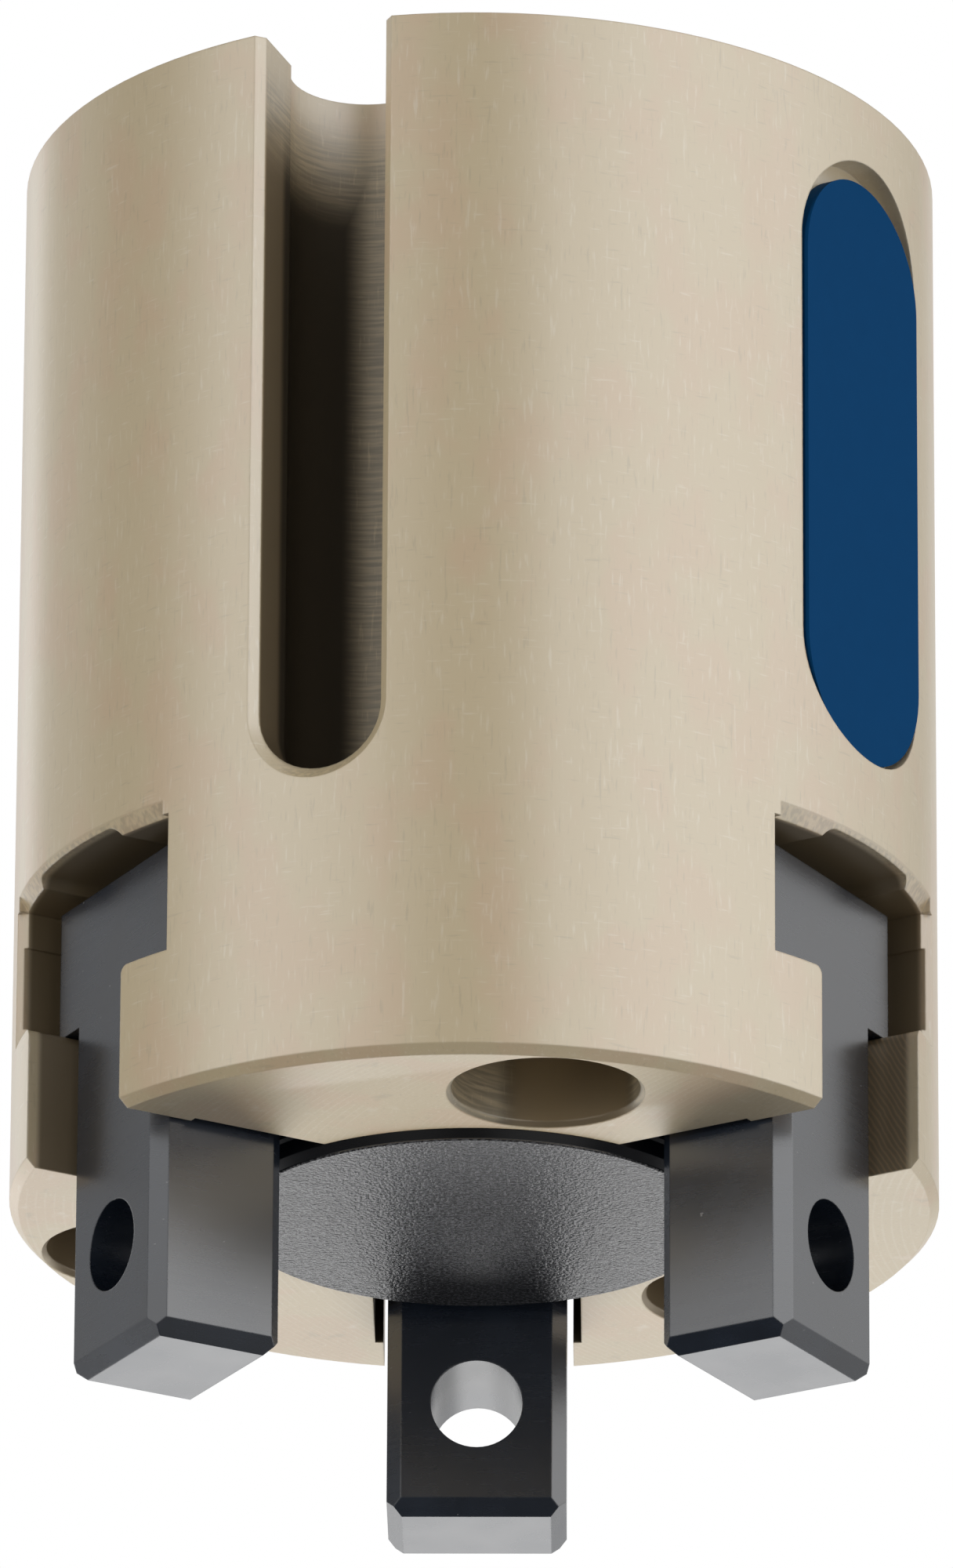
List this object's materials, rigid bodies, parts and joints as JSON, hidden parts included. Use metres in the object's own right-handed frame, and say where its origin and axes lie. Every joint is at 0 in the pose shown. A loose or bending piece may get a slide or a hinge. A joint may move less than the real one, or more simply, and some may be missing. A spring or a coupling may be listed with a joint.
{
  "type": "three jaw centric gripper",
  "caption": "Round pneumatic gripper with jaws that slide radially together in T-slots, driven by a piston and a wedge hook, with a sensor slot and side air ports.",
  "frame": {"origin": "centre of the rear mounting face", "axes": "+Z along the gripper axis from the mounting face to the jaws, +Y towards jaw a"},
  "size_m": [0.045, 0.045, 0.0644],
  "materials": {
    "anodised_aluminium": "satin, champagne anodised",
    "black_steel": "black oxide, ground",
    "black_grained_plastic": "fine grained",
    "blue_plate": "plain dark blue, semi gloss",
    "plain_aluminium": "turned",
    "hardened_steel": "ground",
    "spring_steel": "phosphated",
    "black_screw_steel": "black oxide",
    "bronze": "sintered bronze",
    "guide_plastic": "bronze filled PTFE",
    "magnet": "bonded ferrite",
    "seal_rubber": "nitrile rubber"
  },
  "bodies": {
    "gripper_body": {"housing": "anodised_aluminium", "rear_cover": "anodised_aluminium", "cover_o_ring": "seal_rubber", "cover_retaining_ring": "spring_steel", "rear_bumper": "seal_rubber", "front_bumper": "seal_rubber", "rod_bush": "bronze", "rod_seal": "seal_rubber", "seal_washer": "spring_steel", "seal_retaining_ring": "spring_steel", "centre_cap": "black_grained_plastic", "name_plate": "blue_plate", "direct_port_screws": "black_screw_steel", "direct_port_o_rings": "seal_rubber"},
    "drive": {"piston": "plain_aluminium", "piston_seal": "seal_rubber", "piston_guide_ring": "guide_plastic", "piston_magnet": "magnet", "piston_screw": "black_screw_steel", "spigot_o_ring": "seal_rubber", "wedge_hook": "hardened_steel"},
    "slide_a": {"jaw_a": "black_steel"},
    "slide_b": {"jaw_b": "black_steel"},
    "slide_c": {"jaw_c": "black_steel"}
  },
  "joints": [
    {"name": "piston_slide", "type": "slide", "parent": "gripper_body", "child": "drive", "axis": [0, 0, 1], "range_m": [-0.0005, 0.0045]},
    {"name": "jaw_slide_a", "type": "slide", "parent": "gripper_body", "child": "slide_a", "axis": [0, 1, 0], "range_m": [-0.0004, 0.0036]},
    {"name": "jaw_slide_b", "type": "slide", "parent": "gripper_body", "child": "slide_b", "axis": [-0.866, -0.5, 0], "range_m": [-0.0004, 0.0036]},
    {"name": "jaw_slide_c", "type": "slide", "parent": "gripper_body", "child": "slide_c", "axis": [0.866, -0.5, 0], "range_m": [-0.0004, 0.0036]}
  ],
  "couplings": [
    {"joint": "jaw_slide_a", "follows": "piston_slide", "ratio": 0.8},
    {"joint": "jaw_slide_b", "follows": "piston_slide", "ratio": 0.8},
    {"joint": "jaw_slide_c", "follows": "piston_slide", "ratio": 0.8}
  ]
}
